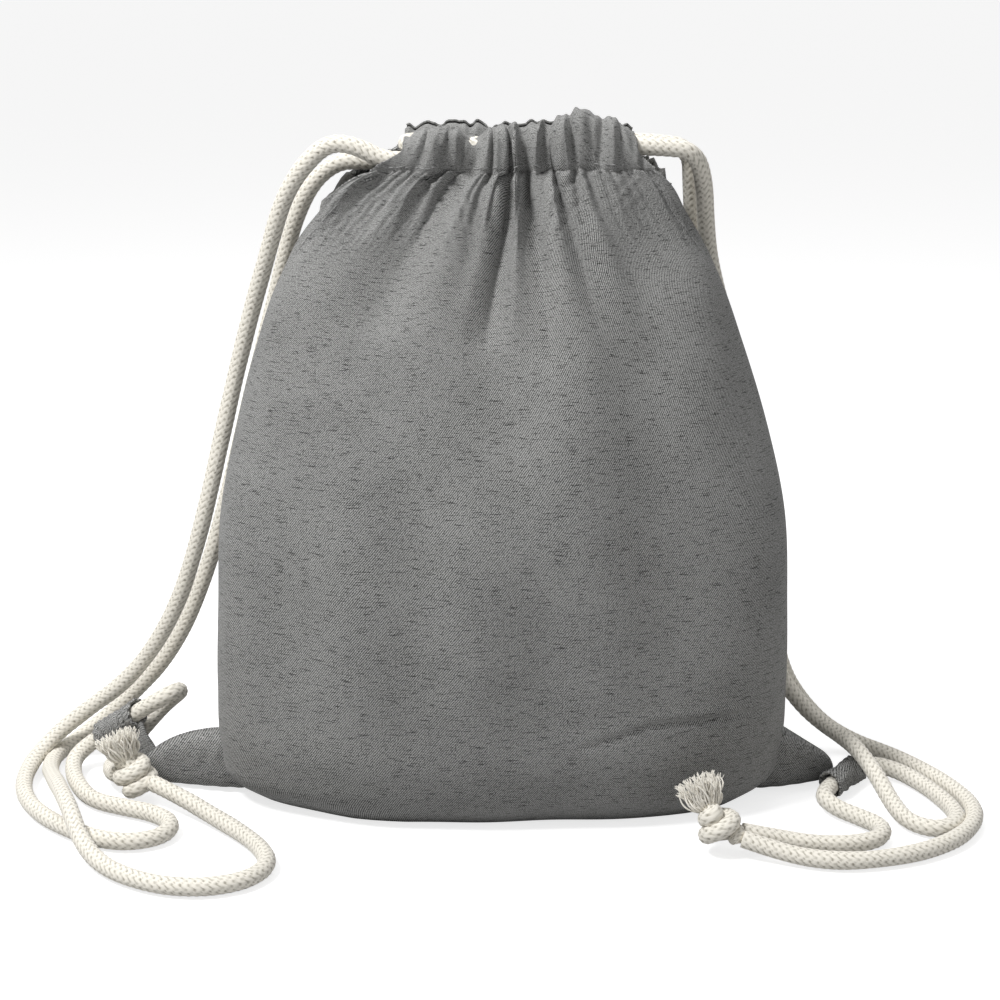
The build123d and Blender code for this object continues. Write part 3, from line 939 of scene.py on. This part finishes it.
def canvas_material(name, group, dark, light):
    """Matt melange canvas."""
    material = bpy.data.materials.new(name)
    material.use_nodes = True
    tree = material.node_tree
    add = node_tree(tree)
    shader = tree.nodes["Principled BSDF"]
    shader.inputs["Roughness"].default_value = 0.92
    shader.inputs["Specular IOR Level"].default_value = 0.18
    shader.inputs["Sheen Weight"].default_value = 0.12
    shader.inputs["Sheen Roughness"].default_value = 0.6
    place = add("ShaderNodeUVMap", uv_map="cloth")
    weave = add("ShaderNodeGroup", node_tree=group)
    tree.links.new(place.outputs["UV"], weave.inputs["Place"])
    weave.inputs["Dark"].default_value = (*dark, 1)
    weave.inputs["Light"].default_value = (*light, 1)
    tree.links.new(weave.outputs["Color"], shader.inputs["Base Color"])
    bump = add("ShaderNodeBump", {"Height": weave.outputs["Height"], "Strength": 0.35, "Distance": 0.00012})
    tree.links.new(bump.outputs["Normal"], shader.inputs["Normal"])
    return material


def cotton_material(name, gap, crown, attribute=True):
    """Unbleached cotton yarn; with the crown attribute it is darker between its strands as painted shade, without
    it a random fibre tone.
    """
    material = bpy.data.materials.new(name)
    material.use_nodes = True
    tree = material.node_tree
    add = node_tree(tree)
    shader = tree.nodes["Principled BSDF"]
    shader.inputs["Roughness"].default_value = 0.88
    shader.inputs["Specular IOR Level"].default_value = 0.2
    shader.inputs["Sheen Weight"].default_value = 0.2
    place = add("ShaderNodeUVMap", uv_map="cloth")
    fibres = add("ShaderNodeVectorMath", {0: place.outputs["UV"], 1: (2600.0, 900.0, 1.0)}, operation="MULTIPLY")
    noise = add("ShaderNodeTexNoise", {"Vector": fibres.outputs[0], "Scale": 1.0, "Detail": 2.0})
    # Painted shade: where the crown attribute is low, in the braid's gaps, the yarn takes the dark gap colour.
    if attribute:
        value = add("ShaderNodeAttribute", attribute_name="crown").outputs["Fac"]
        raised = add("ShaderNodeMapRange", {"Value": value, "From Min": 0.0, "From Max": 0.75})
        value = raised.outputs[0]
    else:
        spread = add("ShaderNodeMapRange", {"Value": noise.outputs["Fac"], "From Min": 0.25, "From Max": 0.6})
        value = spread.outputs[0]
    mixed = add("ShaderNodeMix", {"Factor": value}, data_type="RGBA")
    mixed.inputs[6].default_value = (*gap, 1)
    mixed.inputs[7].default_value = (*crown, 1)
    tree.links.new(mixed.outputs[2], shader.inputs["Base Color"])
    bump = add("ShaderNodeBump", {"Height": noise.outputs["Fac"], "Strength": 0.5, "Distance": 0.0003})
    tree.links.new(bump.outputs["Normal"], shader.inputs["Normal"])
    return material


def plain_material(name, color, roughness):
    """One colour and one roughness, for thread and floor."""
    material = bpy.data.materials.new(name)
    material.use_nodes = True
    shader = material.node_tree.nodes["Principled BSDF"]
    shader.inputs["Base Color"].default_value = (*color, 1)
    shader.inputs["Roughness"].default_value = roughness
    return material


def dress(piece, material):
    """Gives a piece its material."""
    piece.data.materials.clear()
    piece.data.materials.append(material)


# ---------------------------------------------------------------- stitching

def stitch_tree(material):
    """Geometry Nodes: short thread ends laid along a line, one every few millimetres."""
    tree = bpy.data.node_groups.new("stitch_row", "GeometryNodeTree")
    face = tree.interface
    face.new_socket("Geometry", in_out="INPUT", socket_type="NodeSocketGeometry")
    for socket, size in (("Stitch length", 0.0022), ("Stitch spacing", 0.0032), ("Thread radius", 0.00028)):
        face.new_socket(socket, in_out="INPUT", socket_type="NodeSocketFloat").default_value = size
    face.new_socket("Geometry", in_out="OUTPUT", socket_type="NodeSocketGeometry")
    add = node_tree(tree)
    inside, outside = add("NodeGroupInput"), add("NodeGroupOutput")
    line = add("GeometryNodeMeshToCurve", {"Mesh": inside.outputs["Geometry"]})
    points = add("GeometryNodeCurveToPoints",
                 {"Curve": line.outputs[0], "Length": inside.outputs["Stitch spacing"]}, mode="LENGTH")
    thread = add("GeometryNodeMeshCylinder", {"Vertices": 6, "Radius": inside.outputs["Thread radius"],
                                              "Depth": inside.outputs["Stitch length"]})
    laid = add("GeometryNodeInstanceOnPoints",
               {"Points": points.outputs["Points"], "Instance": thread.outputs["Mesh"]})
    along = add("FunctionNodeAlignEulerToVector", {"Vector": points.outputs["Tangent"]}, axis="Z")
    tree.links.new(along.outputs[0], laid.inputs["Rotation"])
    real = add("GeometryNodeRealizeInstances", {"Geometry": laid.outputs[0]})
    colored = add("GeometryNodeSetMaterial", {"Geometry": real.outputs[0], "Material": material})
    tree.links.new(colored.outputs[0], outside.inputs["Geometry"])
    return tree


def stitch_row(name, line, tree):
    """A row of stitches along a line of points."""
    mesh = bpy.data.meshes.new(name)
    mesh.from_pydata([tuple(p) for p in line], [(i, i + 1) for i in range(len(line) - 1)], [])
    piece = bpy.data.objects.new(name, mesh)
    bpy.context.collection.objects.link(piece)
    laid = piece.modifiers.new("stitches", "NODES")
    laid.node_group = tree
    return finished(piece)


# ---------------------------------------------------------------- making it all

weave = yarn_group()
canvas = canvas_material("grey_melange_canvas", weave, (0.020, 0.020, 0.019), (0.42, 0.42, 0.41))
# Painted shade: the inside canvas is a darker copy of the same melange cloth, standing in for the shade inside the
# bag.
shaded_inner_canvas = canvas_material("canvas_inside_painted_shade", weave, (0.05, 0.05, 0.05), (0.20, 0.20, 0.195))
# The braid's dark gap colour is painted shade between the strands; its crown colour is the yarn's own.
cotton = cotton_material("braided_cotton", (0.27, 0.245, 0.19), (0.83, 0.795, 0.715))
frayed = cotton_material("frayed_cotton", (0.62, 0.58, 0.50), (0.86, 0.83, 0.76), attribute=False)
thread = plain_material("grey_thread", (0.30, 0.30, 0.295), 0.7)
stitches = stitch_tree(thread)


def bend(piece):
    """Bakes the piece's transform into its mesh."""
    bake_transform(piece)


front_panel, front_grid, front_normal = make_panel("front_panel_cloth", True)
back_panel, back_grid, back_normal = make_panel("back_panel_cloth", False)
front_casing = make_casing("front_casing_cloth", True)
back_casing = make_casing("back_casing_cloth", False)
for piece in (front_panel, back_panel, front_casing, back_casing):
    dress(piece, canvas)
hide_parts("front_panel")
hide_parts("back_panel")
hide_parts("front_channel")
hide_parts("back_channel")

# Cords, knots and their frayed ends.
left_line = smooth_line("left_drawcord_line", LEFT_ROUTE)
right_line = smooth_line("right_drawcord_line", RIGHT_ROUTE)
left_cord, left_path = make_rope("left_drawcord_braid", left_line)
right_cord, right_path = make_rope("right_drawcord_braid", right_line)
left_knot = make_knot("left_knot_wraps", (-0.1965, -0.0190, 0.0150), (-0.25, 0.05, 0.95), 1.9, 0.6)
right_knot = make_knot("right_knot_wraps", (0.1110, -0.0890, 0.0150), (-0.30, 0.20, 0.93), 1.9, 2.4)
left_tassel = make_tassel(
    "left_frayed_end", (-0.2015, -0.0180, 0.0245), (-0.2070, -0.0145, 0.0375), 3, 0.0120)
right_tassel = make_tassel(
    "right_frayed_end", (0.1050, -0.0840, 0.0240), (0.0985, -0.0775, 0.0375), 4, 0.0125)
for piece in (left_cord, right_cord, left_knot, right_knot):
    dress(piece, cotton)
for piece in (left_tassel, right_tassel):
    dress(piece, frayed)
for side, rope, knot, tassel in (("left", left_cord, left_knot, left_tassel),
                                 ("right", right_cord, right_knot, right_tassel)):
    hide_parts(side + "_drawcord")
    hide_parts(side + "_knot")
    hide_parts(side + "_tassel")
    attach(knot, "bag")
    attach(tassel, "bag")
    bend(rope)

# Corner tabs.
left_tab = make_tab(
    "left_corner_loop", (-0.2250, 0.0300, 0.0170), (-0.1960, 0.0140, 0.0400), (-0.1955, 0.0094, 0.0110), 1)
right_tab = make_tab(
    "right_corner_loop", (0.1780, -0.0170, 0.0080), (0.1960, 0.0085, 0.0076), (0.1795, -0.0010, 0.0060), 4)
for side, tab in (("left", left_tab), ("right", right_tab)):
    dress(tab, canvas)
    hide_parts(side + "_corner_tab")
    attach(tab, "bag")

# Cloth inside the bag.
front_side, back_side = (front_grid, front_normal), (back_grid, back_normal)
hem_rows = (WALL_ROWS - HEM_DEEP, WALL_ROWS)
hem_columns = (SLIT_WIDE + 2, COLUMNS - SLIT_WIDE - 2)
front_hem = make_strip("front_hem_turn_in", front_side, hem_rows, hem_columns, INSIDE)
back_hem = make_strip("back_hem_turn_in", back_side, hem_rows, hem_columns, INSIDE)
fins = [make_fin("left_seam_allowance", -1, 0.030, 0.280), make_fin("right_seam_allowance", 1, 0.030, 0.280)]
bottom_fin = make_bottom_fin("bottom_seam_allowance")
slit_foot_row = int(np.searchsorted(wall_heights(), SLIT_FOOT + 0.012))
slit_rows_span = (slit_foot_row, WALL_ROWS)
first_edge, last_edge = (1, SLIT_WIDE), (COLUMNS - SLIT_WIDE, COLUMNS - 1)
slit_hems = []
for name, panel, columns in (("front_left", front_side, first_edge), ("front_right", front_side, last_edge),
                             ("back_right", back_side, first_edge), ("back_left", back_side, last_edge)):
    slit_hems.append(make_strip(name + "_slit_turn_in", panel, slit_rows_span, columns, INSIDE))
# The turn-ins and seam allowances take the darker canvas, which is painted shade.
for piece in (front_hem, back_hem, *fins, bottom_fin, *slit_hems):
    dress(piece, shaded_inner_canvas)
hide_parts("front_hem_allowance")
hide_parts("back_hem_allowance")
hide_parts("left_side_seam")
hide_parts("right_side_seam")
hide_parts("bottom_seam")
for piece in slit_hems:
    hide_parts(piece.name.replace("turn_in", "hem"))
for piece in (back_hem, *fins, bottom_fin, slit_hems[2], slit_hems[3]):
    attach(piece, "bag")

# Stitching: the casing's two hems and the front panel's slit edges.
front_skin = front_grid + outward(front_grid) * SKIN_LIFT
back_skin = back_grid + outward(back_grid) * SKIN_LIFT
front_row = stitch_row("front_casing_stitches", front_skin[STITCH_ROW, 6:-6], stitches)
back_row = stitch_row("back_casing_stitches", back_skin[STITCH_ROW, 6:-6], stitches)
slit_part = front_skin[BASE_ROWS + slit_foot_row:HEM_ROW]
slit_rows = [stitch_row("left_slit_stitches", slit_part[:, STITCH_COLUMN], stitches),
             stitch_row("right_slit_stitches", slit_part[:, -1 - STITCH_COLUMN], stitches)]

for piece in (front_panel, back_panel, front_casing, back_casing, front_hem, slit_hems[0], slit_hems[1],
              front_row, back_row, *slit_rows):
    bend(piece)

# ---------------------------------------------------------------- floor, light and camera

bpy.ops.mesh.primitive_plane_add(size=120.0, location=(0, 0, -0.0006))
floor = bpy.context.object
floor.name = "floor"
pale = plain_material("pale_floor", (0.50, 0.50, 0.50), 0.9)
seen = pale.node_tree.nodes.new("ShaderNodeLightPath")
glow = pale.node_tree.nodes.new("ShaderNodeMath")
glow.operation = "MULTIPLY"
glow.inputs[1].default_value = 0.74
pale.node_tree.links.new(seen.outputs["Is Camera Ray"], glow.inputs[0])
pale.node_tree.nodes["Principled BSDF"].inputs["Emission Color"].default_value = (1, 1, 1, 1)
pale.node_tree.links.new(glow.outputs[0], pale.node_tree.nodes["Principled BSDF"].inputs["Emission Strength"])
floor.data.materials.append(pale)


def area_light(name, place, aim, size, power):
    lamp = bpy.data.lights.new(name, "AREA")
    lamp.shape = "DISK"
    lamp.size = size
    lamp.energy = power
    holder = bpy.data.objects.new(name, lamp)
    holder.location = place
    holder.rotation_euler = (Vector(aim) - Vector(place)).to_track_quat("-Z", "Y").to_euler()
    bpy.context.collection.objects.link(holder)


area_light("key", (-0.75, -0.62, 1.50), (0, 0, 0.22), 0.45, 27)
area_light("fill", (1.2, -1.2, 0.9), (0, 0, 0.15), 1.4, 2)
area_light("top", (0.1, 0.5, 1.8), (0, 0, 0.1), 1.2, 10)
world = bpy.data.worlds.new("studio")
world.use_nodes = True
world.node_tree.nodes["Background"].inputs["Color"].default_value = (1, 1, 1, 1)
world.node_tree.nodes["Background"].inputs["Strength"].default_value = 0.33
bpy.context.scene.world = world
bpy.context.scene.view_settings.view_transform = "Standard"

AIM = Vector((0.0, 0.0, 0.162))
ELEVATION = math.radians(14.5)
DISTANCE = 1.1
lens = bpy.data.cameras.new("camera")
lens.lens = 75
lens.sensor_width = 36
camera = bpy.data.objects.new("camera", lens)
camera.location = AIM + Vector((0, -math.cos(ELEVATION), math.sin(ELEVATION))) * DISTANCE
camera.rotation_euler = (AIM - camera.location).to_track_quat("-Z", "Y").to_euler()
bpy.context.collection.objects.link(camera)
bpy.context.scene.camera = camera
